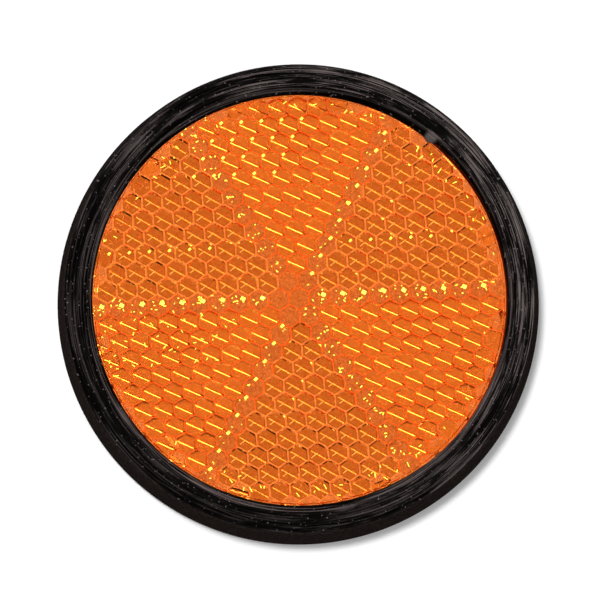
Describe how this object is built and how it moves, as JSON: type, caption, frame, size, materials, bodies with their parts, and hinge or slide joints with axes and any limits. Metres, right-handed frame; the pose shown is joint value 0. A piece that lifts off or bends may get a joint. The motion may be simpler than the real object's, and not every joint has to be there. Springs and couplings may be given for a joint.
{
  "type": "round reflector",
  "caption": "Round amber reflector with a field of hexagonal cube-corner prisms, held in a black rubber ring, with a self-adhesive back for a flat carrier.",
  "frame": {"origin": "centre of the underside, on the face that lies against the carrier", "axes": "+Z out through the lens face, +Y to the top of the prism field, which lies 0.38 mm off the axis that way"},
  "size_m": [0.0602, 0.0602, 0.0076],
  "materials": {
    "amber_lens": "clear amber acrylic, polished",
    "pale_plate": "pale grey moulded plastic, fine matt",
    "black_rubber": "black rubber with a soft gloss, drag lines round it and a little dust",
    "foam": "pale closed-cell foam",
    "liner": "waxed paper, satin"
  },
  "bodies": {
    "root": {"lens": "amber_lens", "back_plate": "pale_plate", "rubber_ring": "black_rubber", "adhesive_pad": "foam", "release_liner": "liner"}
  },
  "joints": []
}
